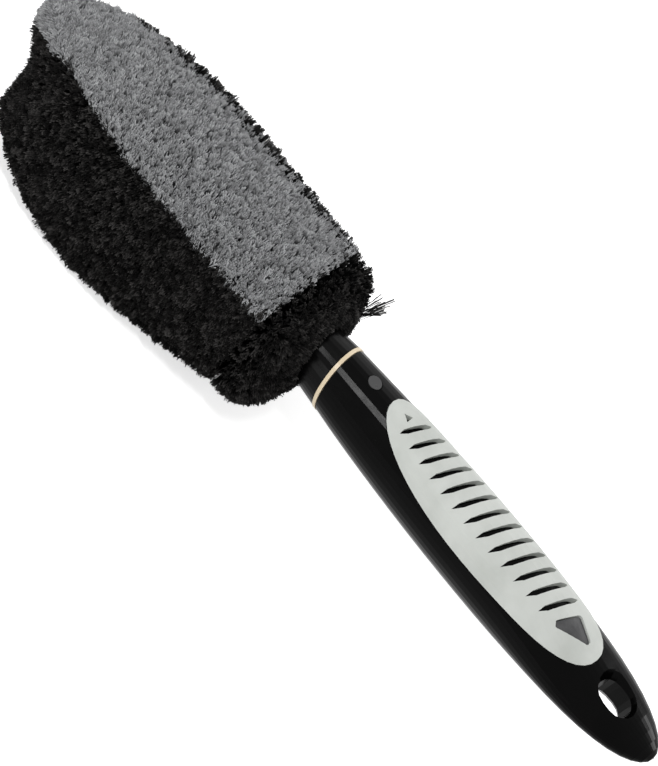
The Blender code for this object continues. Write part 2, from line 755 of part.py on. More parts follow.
def grow_bristle(bm, cell, root, tip, place, counts):
    corners = ((0, 0), (1, 0), (1, 1), (0, 1))
    foot = []
    end = []
    for a, b in corners:
        u = (place[0] + lerp(ROOT_INSET, 1 - ROOT_INSET, a)) / counts[0]
        v = (place[1] + lerp(ROOT_INSET, 1 - ROOT_INSET, b)) / counts[1]
        foot.append(bm.verts.new(root(u, v)))
        end.append(Vector(tip((place[0] + a) / counts[0], (place[1] + b) / counts[1])))
    drawn_in = draw_in(end)
    crown = [bm.verts.new(point) for point in drawn_in]
    for i in range(4):
        j = (i + 1) % 4
        bm.faces.new((cell[i], cell[j], foot[j], foot[i]))
        bm.faces.new((foot[i], foot[j], crown[j], crown[i]))
    bm.faces.new(crown)


def draw_in(points):
    """The four corners of a tip, each moved in from both of its sides by half the gap between tips."""
    result = []
    for i in range(4):
        along = (points[(i + 1) % 4] - points[i]).normalized()
        back = (points[i - 1] - points[i]).normalized()
        result.append(points[i] + (along + back) * TIP_GAP)
    return result


def boundary(columns, rows):
    """The grid places round a field's edge, in order."""
    loop = [(i, 0) for i in range(columns)]
    loop += [(columns, j) for j in range(rows)]
    loop += [(i, rows) for i in range(columns, 0, -1)]
    loop += [(0, j) for j in range(rows, 0, -1)]
    return loop


def close_flat(bm, top, under, columns, rows):
    loop = boundary(columns, rows)
    lower = [bm.verts.new(under(i / columns, j / rows)) for i, j in loop]
    upper = [top[i][j] for i, j in loop]
    bridge(bm, upper, lower)
    bm.faces.new(lower)


def close_wrapped(bm, top, under, columns, rows):
    inner = [bm.verts.new(under(i / columns, 0.0)) for i in range(columns)]
    outer = [bm.verts.new(under(i / columns, 1.0)) for i in range(columns)]
    bridge(bm, [column[0] for column in top], inner)
    bridge(bm, [column[rows] for column in top], outer)
    bridge(bm, inner, outer)


def span(share, low, high, index, count, edge):
    """A place within strip number index of count between low and high, with half a gap at each edge."""
    width = (high - low) / count
    start = low + index * width + edge
    return lerp(start, start + width - 2 * edge, share)


def field_x(u):
    return lerp(SLICE_FRONT_X, SLICE_REAR_X, u)


def tip_x(u):
    return lerp(TIP_FRONT_X, TIP_REAR_X, u)


def nose_edge_x(share):
    """Front edge of the grey top, bowed forward over the nose; share is -1 to 1 across it."""
    return lerp(TIP_FRONT_X, TIP_NOSE_X, NOSE_TOP_SHARE * (1 - share * share) ** NOSE_BOW_POWER)


def top_row(index):
    half = CORE_HALF_WIDTH - GAP
    base = CORE_Z + CORE_HALF_HEIGHT + GAP

    def at(u, v, z):
        return Vector((field_x(u), span(v, -half, half, index, FIELD_ROW_COUNT, GAP / 2), z))

    def tip(u, v):
        share = 2 * (index + v) / FIELD_ROW_COUNT - 1
        x = lerp(nose_edge_x(share), TIP_REAR_X, u)
        fit = max(x, TIP_FRONT_X)
        return Vector((x, top_half_width(fit) * share, tip_top_z(fit) + TOP_CROWN * (1 - share * share)))

    return (lambda u, v: at(u, v, base + SLICE_THICKNESS)), (lambda u, v: at(u, v, base)), tip


def side_row(index, side):
    half = CORE_HALF_HEIGHT - GAP
    base = CORE_HALF_WIDTH + GAP

    def at(u, v, y):
        z = span(v, CORE_Z - half, CORE_Z + half, index, FIELD_ROW_COUNT, GAP / 2)
        return Vector((field_x(u), side * y, z))

    def tip(u, v):
        x = tip_x(u)
        low = tip_bottom_z(x) + corner_set_in(x)
        z = lerp(low, tip_top_z(x), (index + v) / FIELD_ROW_COUNT)
        return Vector((x, side * side_y(x, z), z))

    return (lambda u, v: at(u, v, base + SLICE_THICKNESS)), (lambda u, v: at(u, v, base)), tip


def bottom_row(index):
    half = CORE_HALF_WIDTH - GAP
    base = CORE_Z - CORE_HALF_HEIGHT - GAP

    def at(u, v, z):
        return Vector((field_x(u), span(v, -half, half, index, FIELD_ROW_COUNT, GAP / 2), z))

    def tip(u, v):
        x = tip_x(u)
        reach = side_half_width(x) - corner_set_in(x)
        y = reach * (2 * (index + v) / FIELD_ROW_COUNT - 1)
        return Vector((x, y, bottom_z(x, y)))

    return (lambda u, v: at(u, v, base - SLICE_THICKNESS)), (lambda u, v: at(u, v, base)), tip


def nose_field():
    half_width = CORE_HALF_WIDTH - CORE_NOSE_STEP
    half_height = CORE_HALF_HEIGHT - CORE_NOSE_STEP
    base = CORE_FRONT_X - GAP
    x = TIP_FRONT_X

    def at(u, v, depth):
        return Vector((depth, lerp(-half_width, half_width, u), CORE_Z + lerp(-half_height, half_height, v)))

    def tip(u, v):
        low = tip_bottom_z(x)
        z = lerp(low, tip_top_z(x), v)
        y = lerp(-1, 1, u) * side_y(x, z)
        upward = math.sin(math.pi * v ** NOSE_PEAK) + NOSE_TOP_SHARE * smooth(v * 2 - 1)
        bulge = max(0.0, 1 - lerp(-1, 1, u) ** 2) ** NOSE_BOW_POWER * min(1.0, upward)
        return Vector((lerp(x, TIP_NOSE_X, bulge), y, z))

    return (lambda u, v: at(u, v, base - SLICE_THICKNESS)), (lambda u, v: at(u, v, base)), tip


def heel_field():
    inner = COLLAR_FRONT_RADIUS + HEEL_INNER_GAP
    base = FLANGE_REAR_X + GAP
    x = TIP_REAR_X + GAP

    def at(u, v, depth):
        turn = 2 * math.pi * u
        half_width = FLANGE_HALF_WIDTH - GAP
        half_height = FLANGE_HALF_HEIGHT - GAP
        rim_y, rim_z = superellipse_point(turn, half_width, half_height, FLANGE_SQUARENESS)
        near = Vector((inner * math.sin(turn), inner * math.cos(turn)))
        far = Vector((rim_y, FLANGE_Z + rim_z))
        place = near.lerp(far, v)
        return Vector((depth, place.x, place.y))

    def tip(u, v):
        turn = 2 * math.pi * u
        start = HANDLE_NECK_RADIUS + HEEL_INNER_GAP
        near = Vector((start * math.sin(turn), start * math.cos(turn)))
        far = envelope_rim(x, turn)
        place = near.lerp(far, math.sin(v * math.pi / 2))
        bulge = max(0.0, math.cos(v * math.pi / 2)) ** HEEL_BLUNTNESS
        rearmost = TIP_HEEL_X - HEEL_SLANT * ((1 + math.cos(turn)) / 2) ** 2
        return Vector((lerp(x, rearmost, bulge), place.x, place.y))

    return (lambda u, v: at(u, v, base + SLICE_THICKNESS)), (lambda u, v: at(u, v, base)), tip


def envelope_rim(x, turn):
    """Where a ray from the flange's middle meets the bristle envelope's outline at station x."""
    reach = 0.0
    limit = TIP_HALF_WIDTH - TIP_BOTTOM_Z
    inside = True
    while inside and reach < limit:
        reach += RIM_SEARCH_STEP
        y = reach * math.sin(turn)
        z = FLANGE_Z + reach * math.cos(turn)
        inside = tip_bottom_z(x) < z < tip_top_z(x) and abs(y) < side_y(x, z)
    reach -= RIM_SEARCH_STEP
    return Vector((reach * math.sin(turn), FLANGE_Z + reach * math.cos(turn)))


def bristles(skins, parent):
    grey = skins["bristle_grey"]
    black = skins["bristle_black"]
    for index in range(FIELD_ROW_COUNT):
        number = index + 1
        sides = (
            ("top", top_row(index), grey), ("left", side_row(index, -1), black),
            ("right", side_row(index, 1), black), ("bottom", bottom_row(index), black),
        )
        for side, places, skin in sides:
            field = bristle_field(*places, FIELD_COLUMN_COUNT, 1)
            add_object(f"bristles_{side}_row_{number}", field, skin, parent)
    nose = bristle_field(*nose_field(), NOSE_COLUMN_COUNT, NOSE_ROW_COUNT)
    add_object("bristles_nose", nose, black, parent)
    heel = bristle_field(*heel_field(), HEEL_COLUMN_COUNT, HEEL_ROW_COUNT, wrapped=True)
    add_object("bristles_heel", heel, black, parent)


# ---------------------------------------------------------------- the whole brush
def clear_scene():
    for old in list(bpy.data.objects):
        bpy.data.objects.remove(old, do_unlink=True)


def main():
    clear_scene()
    skins = make_materials()
    brush = bpy.data.objects.new("wheel_brush", None)
    brush.location = (-BRUSH_MIDDLE_X, 0, -REST_Z)
    bpy.context.scene.collection.objects.link(brush)
    head_core(skins, brush)
    bristles(skins, brush)
    neck_collar(skins, brush)
    neck_ring_piece(skins, brush)
    handle_shell(skins, brush)
    lock_screw(skins, brush)
    lock_plug(skins, brush)
    grip_pad(skins, brush)
    grip_badge(skins, brush)
    bpy.context.view_layer.update()


main()
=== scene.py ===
import math

import bpy
import numpy as np
from mathutils import Matrix, Vector


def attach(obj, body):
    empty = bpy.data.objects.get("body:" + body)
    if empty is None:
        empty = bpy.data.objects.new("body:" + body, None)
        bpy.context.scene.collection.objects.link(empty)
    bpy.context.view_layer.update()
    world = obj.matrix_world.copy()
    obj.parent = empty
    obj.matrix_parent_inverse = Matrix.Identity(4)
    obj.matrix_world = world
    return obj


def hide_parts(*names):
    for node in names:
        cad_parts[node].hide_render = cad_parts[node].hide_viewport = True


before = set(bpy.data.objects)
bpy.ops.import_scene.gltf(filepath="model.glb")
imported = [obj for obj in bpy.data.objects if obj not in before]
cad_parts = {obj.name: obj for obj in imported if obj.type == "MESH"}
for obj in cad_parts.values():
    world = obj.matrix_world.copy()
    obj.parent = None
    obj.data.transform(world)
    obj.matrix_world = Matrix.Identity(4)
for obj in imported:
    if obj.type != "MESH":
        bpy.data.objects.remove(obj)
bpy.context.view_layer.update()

# The wheel brush lies along X with its handle towards +X and its grey bristles up, in metres.
# Sizes are about the handle's axis with X = 0 at the neck joint, as in the part's own source.

# ---------------------------------------------------------------- the head's sizes
HANDLE_LENGTH = 0.1694
HANDLE_NECK_RADIUS = 0.0127
COLLAR_FRONT_RADIUS = 0.0100
CORE_Z = -0.0100
CORE_HALF_WIDTH = 0.0120
CORE_HALF_HEIGHT = 0.0090
CORE_FRONT_X = -0.1420
CORE_REAR_X = -0.0314
FLANGE_REAR_X = -0.0281
FLANGE_Z = -0.0030
FLANGE_HALF_WIDTH = 0.0170
FLANGE_HALF_HEIGHT = 0.0180
FLANGE_SQUARENESS = 2.6
TIP_NOSE_X = -0.1660
TIP_FRONT_X = -0.1515
TIP_HEEL_X = -0.0095
TIP_REAR_X = CORE_REAR_X
CROWN_X = -0.0920
NOSE_MIDDLE_X = -0.1640
NOSE_PEAK = 3.0
NOSE_TOP_SHARE = 0.90
NOSE_BOW_POWER = 1.6
TIP_NOSE_Z = 0.0060
TIP_TOP_Z = 0.0200
TIP_BOTTOM_Z = -0.0400
TIP_TOP_HALF_WIDTH = 0.0283
TIP_HALF_WIDTH = 0.0320
TIP_CORNER_RADIUS = 0.0080
HEEL_RISE = 0.0095
HEEL_NARROWING = 0.0045
HEEL_ROUNDING = 0.0060
HEEL_BLUNTNESS = 0.6
HEEL_SLANT = 0.0055
NOSE_BLUNTNESS = 2.3
NOSE_TOP_BLUNTNESS = 1.8
NOSE_HEIGHT_BLUNTNESS = 3.0
TOP_CROWN = 0.0010
REST_CUT = 0.0005
REST_Z = TIP_BOTTOM_Z + REST_CUT
MIDDLE_X = (TIP_NOSE_X + HANDLE_LENGTH) / 2
TO_FRAME = np.array([-MIDDLE_X, 0.0, -REST_Z])

# ---------------------------------------------------------------- bristle sizes
ROOT_DEPTH = 0.0003         # how deep the filaments start inside the core
ROOT_SPREAD = 0.00030       # radius of a tuft where it leaves the core
TIP_SPREAD = 0.00085        # radius of a tuft at its tips
STRAND_RADII = (0.00011, 0.00012, 0.00014, 0.00020)     # the split ends spread at the tip
STRANDS_IN_TUFT = 11
TUFT_PITCH = 0.0015         # between neighbouring tufts at their tips
TUFT_JITTER = 0.5
ALONG = np.array([0.0, 0.55, 0.88, 1.0])                # where a strand's stations lie along it
WANDER = np.array([0.0, 0.00010, 0.00018, 0.00045])     # how far each of them strays from the line
TUFT_UNEVEN = 0.00045       # spread of the heights at which tufts are trimmed
TURN_OUT = 0.75             # how far the last eighth of a strand turns square to the head's surface
LOOKUP_WIDTH = 0.012        # width that a strand takes in the colour map
GREY_NOSE_Z = -0.0020       # nose bristles that end above this are grey at the middle of the nose
GREY_NOSE_SLOPE = 0.9       # and this much higher for each step to either side
GREY_CORNER_X = -0.1430     # forward of this the sides' upper bristles are grey too
GREY_FALL = 0.5             # depth of that grey for each step forward
FLANK_SHARE = 0.14          # share of a side's height that its bristles give up at the heel
FLANK_RUN = 1.6             # how soon towards the heel they have given it up
FAR_RISE = 0.0015           # how far the far side's tips stand over the grey ones
HEEL_RIM_DEPTH = 0.0045     # how far the heel's bristles go on under the long fields' rear ends
HEEL_RIM_ROOT_DEPTH = 0.0030
HEEL_RIM_NARROWING = 0.93   # size of the innermost ring of those bristles against the outermost
RIM_RAYS = 361              # rays from the flange's middle that find the outline at the heel
RIM_RAY_STEP = 0.0002
ROWS = 5
NOSE_TUFTS = (32, 34)       # across, up
HEEL_TUFTS = (120, 18)      # round, outwards
HEEL_RIM_TUFTS = (140, 4)
HEEL_QUARTERS = ("right_upper", "right_lower", "left_lower", "left_upper")
MOTTLE_SHADE = 0.10         # how much of a strand's shade, from 0 to 1, is the head's soft mottle
TUFT_SHADE_SPREAD = 0.20
STRAND_SHADE_SPREAD = 0.12
STRAND_UNEVEN = 0.00030     # spread of the strands' lengths inside one tuft
SLOPE_STEP = 0.01           # step in u and v that finds which way the head's surface faces
MAP_START, MAP_END = 0.02, 0.98     # where a strand's root and tip lie in the colour map
CAP_MAP = (0.985, 0.985, 0.999)     # where the three corners of its end cap lie
ASKEW = np.array([0.31, 0.52, 0.79])        # directions that no strand runs along
ASKEW_TOO = np.array([0.62, 0.35, 0.70])
STRANDS_IN_STRAY = 7
STRAY_SHADE = 0.6
STRAY_SPREAD = 0.00035
STRAY_SHORTEST = 0.6        # shortest strand of a stray wisp against its longest
STRAY_BEND = np.array([0.6, 0.5, 0.6])      # where the middle of a wisp lies on its way out
STRAY_FAN = 1.6             # how much wider a wisp is at its tip than where it leaves the heel
STRAYS = (                  # wisps beside the neck: place (u, v) on the heel, and how far they stand out
    (0.165, 0.32, (0.0037, 0.0150, 0.0010)),
    (0.175, 0.30, (0.0026, 0.0120, 0.0022)),
    (0.185, 0.34, (0.0052, 0.0130, 0.0002)),
    (0.160, 0.28, (0.0060, 0.0080, 0.0025)),
    (0.195, 0.33, (0.0030, 0.0165, -0.0004)),
    (0.150, 0.30, (0.0010, 0.0100, 0.0030)),
)


# ---------------------------------------------------------------- the surface that the tips reach
def lerp(a, b, share):
    return a + (b - a) * share


def smooth(share):
    share = np.clip(share, 0.0, 1.0)
    return share * share * (3.0 - 2.0 * share)


def nose_share(x, bluntness=NOSE_BLUNTNESS):
    along = np.clip((CROWN_X - x) / (CROWN_X - NOSE_MIDDLE_X), 0.0, 1.0)
    return (1.0 - along ** bluntness) ** (1.0 / bluntness)


def heel_share(x):
    return np.clip((x - CROWN_X) / (TIP_REAR_X - CROWN_X), 0.0, None)


def tip_top_z(x):
    return lerp(TIP_NOSE_Z, TIP_TOP_Z, nose_share(x, NOSE_HEIGHT_BLUNTNESS))


def tip_bottom_z(x):
    return lerp(TIP_NOSE_Z, TIP_BOTTOM_Z + HEEL_RISE * heel_share(x) ** 2, nose_share(x))


def side_half_width(x):
    return (TIP_HALF_WIDTH - HEEL_NARROWING * heel_share(x)) * nose_share(x)


def top_half_width(x):
    return TIP_TOP_HALF_WIDTH * nose_share(x, NOSE_TOP_BLUNTNESS)


def corner_radius(x):
    return (TIP_CORNER_RADIUS + HEEL_ROUNDING * heel_share(x)) * nose_share(x)


def corner_set_in(x):
    return corner_radius(x) * (1.0 - math.sqrt(0.5))


def side_y(x, z):
    radius = corner_radius(x)
    knee = tip_bottom_z(x) + radius
    wide = side_half_width(x)
    low = wide - radius + np.sqrt(np.clip(radius ** 2 - (knee - z) ** 2, 0.0, None))
    narrow = top_half_width(x)
    share = np.clip((z - knee) / (tip_top_z(x) - knee), 0.0, 1.0)
    return np.where(z < knee, low, narrow + (wide - narrow) * np.sqrt(1.0 - share * share))


def bottom_z(x, y):
    radius = corner_radius(x)
    over = np.clip(np.abs(y) - (side_half_width(x) - radius), 0.0, None)
    level = tip_bottom_z(x) + radius - np.sqrt(np.clip(radius ** 2 - over ** 2, 0.0, None))
    return np.maximum(level, REST_Z)


def heel_rim(turns):
    """Where rays from the flange's middle meet the tips' outline at the heel."""
    fine = np.linspace(0.0, 2 * math.pi, RIM_RAYS)
    reach = np.zeros(fine.size)
    inside = np.ones(fine.size, bool)
    while inside.any():
        reach[inside] += RIM_RAY_STEP
        y = reach * np.sin(fine)
        z = FLANGE_Z + reach * np.cos(fine)
        inside &= (tip_bottom_z(TIP_REAR_X) < z) & (z < tip_top_z(TIP_REAR_X))
        inside &= np.abs(y) < side_y(TIP_REAR_X, z)
    return np.interp(turns, fine, reach)


def stack(x, y, z):
    return np.stack(np.broadcast_arrays(x, y, z), axis=-1)


def top_places(u, v):
    across = 2 * v - 1
    edge = lerp(TIP_FRONT_X, TIP_NOSE_X, NOSE_TOP_SHARE * np.maximum(0.0, 1 - across ** 2) ** NOSE_BOW_POWER)
    x = lerp(edge, TIP_REAR_X, u)
    fit = np.maximum(x, TIP_FRONT_X)
    root = stack(lerp(CORE_FRONT_X, CORE_REAR_X, u), across * CORE_HALF_WIDTH,
                 CORE_Z + CORE_HALF_HEIGHT - ROOT_DEPTH)
    return root, stack(x, top_half_width(fit) * across, tip_top_z(fit) + TOP_CROWN * (1 - across ** 2))


def side_places(side, rise=0.0):
    """A side's bristles; towards the heel its lowest ones stop short and show the flank of the ones below."""
    def places(u, v):
        x = lerp(TIP_FRONT_X, TIP_REAR_X, u)
        v = lerp(FLANK_SHARE * smooth(heel_share(x) * FLANK_RUN), 1.0, v)
        z = lerp(tip_bottom_z(x) + corner_set_in(x), tip_top_z(x) + rise * np.sin(math.pi * u), v)
        root = stack(lerp(CORE_FRONT_X, CORE_REAR_X, u), side * (CORE_HALF_WIDTH - ROOT_DEPTH),
                     CORE_Z + (2 * v - 1) * CORE_HALF_HEIGHT)
        return root, stack(x, side * side_y(x, z), z)
    return places


def bottom_places(u, v):
    x = lerp(TIP_FRONT_X, TIP_REAR_X, u)
    across = 2 * v - 1
    y = (side_half_width(x) - corner_set_in(x)) * across
    root = stack(lerp(CORE_FRONT_X, CORE_REAR_X, u), across * CORE_HALF_WIDTH,
                 CORE_Z - CORE_HALF_HEIGHT + ROOT_DEPTH)
    return root, stack(x, y, bottom_z(x, y))


def nose_places(u, v):
    x = TIP_FRONT_X
    across = 2 * u - 1
    z = lerp(tip_bottom_z(x), tip_top_z(x) + TOP_CROWN * (1 - across ** 2), v)
    y = across * side_y(x, z)
    upward = np.sin(math.pi * v ** NOSE_PEAK) + NOSE_TOP_SHARE * smooth(2 * v - 1)
    bulge = np.maximum(0.0, 1 - across ** 2) ** NOSE_BOW_POWER * np.minimum(1.0, upward)
    root = stack(CORE_FRONT_X + ROOT_DEPTH, across * CORE_HALF_WIDTH,
                 CORE_Z + (2 * v - 1) * CORE_HALF_HEIGHT)
    return root, stack(lerp(x, TIP_NOSE_X, bulge), y, z)


def heel_places(u, v):
    turn = 2 * math.pi * u
    power = 2.0 / FLANGE_SQUARENESS
    rim_y = FLANGE_HALF_WIDTH * np.sign(np.sin(turn)) * np.abs(np.sin(turn)) ** power
    rim_z = FLANGE_Z + FLANGE_HALF_HEIGHT * np.sign(np.cos(turn)) * np.abs(np.cos(turn)) ** power
    near = COLLAR_FRONT_RADIUS + ROOT_SPREAD
    root = stack(FLANGE_REAR_X - ROOT_DEPTH, lerp(near * np.sin(turn), rim_y, v),
                 lerp(near * np.cos(turn), rim_z, v))
    start = HANDLE_NECK_RADIUS + TIP_SPREAD / 2
    reach = heel_rim(turn)
    out = np.sin(v * math.pi / 2)
    y = lerp(start * np.sin(turn), reach * np.sin(turn), out)
    z = lerp(start * np.cos(turn), FLANGE_Z + reach * np.cos(turn), out)
    back = np.cos(v * math.pi / 2) ** HEEL_BLUNTNESS
    rearmost = TIP_HEEL_X - HEEL_SLANT * ((1 + np.cos(turn)) / 2) ** 2
    return root, stack(lerp(TIP_REAR_X, rearmost, back), y, z)


def heel_rim_places(u, v):
    """Bristles that close the wedge between the heel and the rear ends of the long fields."""
    root, tip = heel_places(u, np.ones_like(v))
    rim_root = root - stack(HEEL_RIM_ROOT_DEPTH * v, 0.0, 0.0)
    middle = np.array([TIP_REAR_X, 0.0, FLANGE_Z])
    inward = lerp(1.0, HEEL_RIM_NARROWING, v)[:, None]
    return rim_root, middle + (tip - middle) * inward - stack(HEEL_RIM_DEPTH * v, 0.0, 0.0)


# ---------------------------------------------------------------- growing strands
def mottle(places):
    """A soft wandering shade over the head, from -1 to 1: sums of waves about 6 to 25 mm long."""
    x, y, z = places[:, 0], places[:, 1], places[:, 2]
    waves = np.sin(410 * x + 3.1 * np.sin(260 * y + 1.0)) + np.sin(330 * y - 290 * x + 240 * z + 2.0)
    return (waves + np.sin(720 * x + 650 * y + 2.5 * np.sin(500 * z))) / 3


def tuft_grid(rng, columns, rows):
    i, j = np.meshgrid(np.arange(columns), np.arange(rows), indexing="ij")
    i, j = i.ravel(), j.ravel()
    stagger = 0.5 * (j % 2) - 0.25
    u = (i + 0.5 + stagger + rng.uniform(-TUFT_JITTER, TUFT_JITTER, i.size)) / columns
    v = (j + 0.5 + rng.uniform(-TUFT_JITTER, TUFT_JITTER, i.size)) / rows
    return np.clip(u, 0.0, 1.0), np.clip(v, 0.0, 1.0)


def unit(vectors):
    return vectors / np.linalg.norm(vectors, axis=-1, keepdims=True)


def grow(rng, places, columns, rows):
    """Strands for one field: centre lines, a shade from 0 to 1 and the tuft's place (u, v)."""
    u, v = tuft_grid(rng, columns, rows)
    root, tip = places(u, v)
    lean = unit(tip - root)
    along = places(np.minimum(u + SLOPE_STEP, 1.0), v)[1] - places(np.maximum(u - SLOPE_STEP, 0.0), v)[1]
    around = places(u, np.minimum(v + SLOPE_STEP, 1.0))[1] - places(u, np.maximum(v - SLOPE_STEP, 0.0))[1]
    square = np.cross(along, around)
    square = unit(square * np.sign(np.sum(square * lean, axis=-1, keepdims=True)) + 1e-12)
    outward = unit(lerp(lean, square, TURN_OUT))
    side = unit(np.cross(lean, ASKEW))
    other = np.cross(lean, side)
    tip = tip + lean * rng.normal(0.0, TUFT_UNEVEN, (u.size, 1))
    shade = 0.5 + MOTTLE_SHADE * mottle(tip) + rng.normal(0.0, TUFT_SHADE_SPREAD, u.size)

    count = STRANDS_IN_TUFT
    root, tip, lean, side, other, outward = (
        np.repeat(a, count, axis=0) for a in (root, tip, lean, side, other, outward))
    total = u.size * count
    shade = np.repeat(shade, count) + rng.normal(0.0, STRAND_SHADE_SPREAD, total)
    turn = rng.uniform(0.0, 2 * math.pi, total)
    off_middle = np.sqrt(rng.uniform(0.0, 1.0, total))
    across = (np.cos(turn) * off_middle)[:, None] * side + (np.sin(turn) * off_middle)[:, None] * other
    ends = tip + across * TIP_SPREAD + lean * rng.normal(0.0, STRAND_UNEVEN, (total, 1))
    starts = root + across * ROOT_SPREAD
    reach = ends - starts
    length = np.linalg.norm(reach, axis=1, keepdims=True)
    lines = starts[:, None, :] + reach[:, None, :] * ALONG[None, :, None]
    for k in range(2, ALONG.size - 1):
        lines[:, k] = ends - outward * length * (1.0 - ALONG[k])
    wander = rng.normal(0.0, 1.0, (total, ALONG.size, 2)) * WANDER[None, :, None]
    lines += wander[:, :, :1] * side[:, None, :] + wander[:, :, 1:] * other[:, None, :]
    lines[:, :, 2] = np.maximum(lines[:, :, 2], REST_Z + STRAND_RADII[-1])
    return lines, np.clip(shade, 0.02, 0.98), np.repeat(u, count), np.repeat(v, count)


def stray_strands(rng):
    """Centre lines of the few bent wisps that stand out from the heel beside the neck, and their places u."""
    lines = []
    for u, v, reach in STRAYS:
        root, tip = heel_places(np.array([u]), np.array([v]))
        for _ in range(STRANDS_IN_STRAY):
            out = np.array(reach) * rng.uniform(STRAY_SHORTEST, 1.0)
            aside = rng.normal(0.0, STRAY_SPREAD, 3)
            leaves = tip[0] + aside
            lines.append([root[0], leaves, leaves + out * STRAY_BEND, tip[0] + STRAY_FAN * aside + out])
    return np.array(lines), np.repeat([u for u, v, reach in STRAYS], STRANDS_IN_STRAY)


def strand_mesh(name, lines, shade, sides=3):
    """One mesh of strands; its map holds the shade across and the way along each strand."""
    count, stations = lines.shape[:2]
    heading = unit(np.gradient(lines, axis=1))
    first = unit(np.cross(heading, ASKEW_TOO))
    second = np.cross(heading, first)
    radius = np.array(STRAND_RADII)[None, :, None]
    rings = []
    for k in range(sides):
        turn = 2 * math.pi * k / sides
        rings.append(lines + radius * (math.cos(turn) * first + math.sin(turn) * second))
    vertices = np.stack(rings, axis=2) + TO_FRAME
    index = np.arange(count * stations * sides).reshape(count, stations, sides)
    here, after = index[:, :-1, :], index[:, 1:, :]
    quads = np.stack([here, np.roll(here, -1, 2), np.roll(after, -1, 2), after], axis=-1).reshape(-1, 4)
    caps = index[:, -1, :].reshape(-1, sides)
    loops = np.concatenate([quads.ravel(), caps.ravel()])
    sizes = np.concatenate([np.full(len(quads), 4), np.full(len(caps), sides)])
    mesh = bpy.data.meshes.new(name)
    mesh.vertices.add(vertices.size // 3)
    mesh.vertices.foreach_set("co", vertices.ravel())
    mesh.loops.add(loops.size)
    mesh.loops.foreach_set("vertex_index", loops)
    mesh.polygons.add(sizes.size)
    mesh.polygons.foreach_set("loop_start", np.concatenate([[0], np.cumsum(sizes)[:-1]]))
    mesh.polygons.foreach_set("use_smooth", np.ones(sizes.size, bool))
    mesh.update(calc_edges=True)

    left = shade - LOOKUP_WIDTH / 2
    right = shade + LOOKUP_WIDTH / 2
    way = np.linspace(MAP_START, MAP_END, stations)
    quad_u = np.broadcast_to(
        np.stack([left, right, right, left], -1)[:, None, None, :], (count, stations - 1, sides, 4))
    low = np.broadcast_to(way[None, :-1, None], (count, stations - 1, sides))
    high = np.broadcast_to(way[None, 1:, None], (count, stations - 1, sides))
    quad_v = np.stack([low, low, high, high], -1)
    cap_u = np.stack([left, right, shade], -1)
    cap_v = np.broadcast_to(np.array(CAP_MAP), cap_u.shape)
    layer = mesh.uv_layers.new(name="OFBake")
    coordinates = np.stack([
        np.concatenate([quad_u.ravel(), cap_u.ravel()]),
        np.concatenate([quad_v.ravel(), cap_v.ravel()]),
    ], -1)
    layer.data.foreach_set("uv", coordinates.astype(np.float32).ravel())
    made = bpy.data.objects.new(name, mesh)
    bpy.context.scene.collection.objects.link(made)
    return made


def bristle_piece(name, lines, shade, skin, slot, *nodes):
    made = strand_mesh(name, lines, shade)
    made.data.materials.append(skin)
    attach(made, "root")
    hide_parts(*nodes)


# ---------------------------------------------------------------- material helpers
STRAND_ROUGHNESS_SPREAD = 0.08      # light strands are up to this much smoother, dark ones rougher
ROUGHNESS_GRAIN = 0.06              # the rubber's roughness wanders this far to either side


def new_material(name, roughness, colour):
    made = bpy.data.materials.new(name)
    made.use_nodes = True
    shader = made.node_tree.nodes["Principled BSDF"]
    shader.inputs["Roughness"].default_value = roughness
    shader.inputs["Base Color"].default_value = (*colour, 1.0)
    made.diffuse_color = (*colour, 1.0)
    return made, made.node_tree, shader


def add_node(tree, kind, **settings):
    made = tree.nodes.new(kind)
    for key, value in settings.items():
        if key in made.inputs:
            made.inputs[key].default_value = value
        else:
            setattr(made, key, value)
    return made


def noise(tree, scale, detail=3.0, roughness=0.5):
    place = add_node(tree, "ShaderNodeTexCoord")
    made = add_node(tree, "ShaderNodeTexNoise", Scale=scale, Detail=detail, Roughness=roughness)
    tree.links.new(place.outputs["Object"], made.inputs["Vector"])
    return made.outputs["Fac"]


def ramp(tree, source, stops):
    made = add_node(tree, "ShaderNodeValToRGB")
    band = made.color_ramp
    while len(band.elements) < len(stops):
        band.elements.new(0.5)
    for element, (at, colour) in zip(band.elements, stops):
        element.position = at
        element.color = (*colour, 1.0)
    tree.links.new(source, made.inputs["Fac"])
    return made.outputs["Color"]


def spread(tree, source, low, high):
    made = add_node(tree, "ShaderNodeMapRange")
    made.inputs["From Min"].default_value = 0.3
    made.inputs["From Max"].default_value = 0.7
    made.inputs["To Min"].default_value = low
    made.inputs["To Max"].default_value = high
    tree.links.new(source, made.inputs["Value"])
    return made.outputs["Result"]


def bump(tree, shader, source, strength, distance):
    made = add_node(tree, "ShaderNodeBump", Strength=strength, Distance=distance)
    tree.links.new(source, made.inputs["Height"])
    tree.links.new(made.outputs["Normal"], shader.inputs["Normal"])


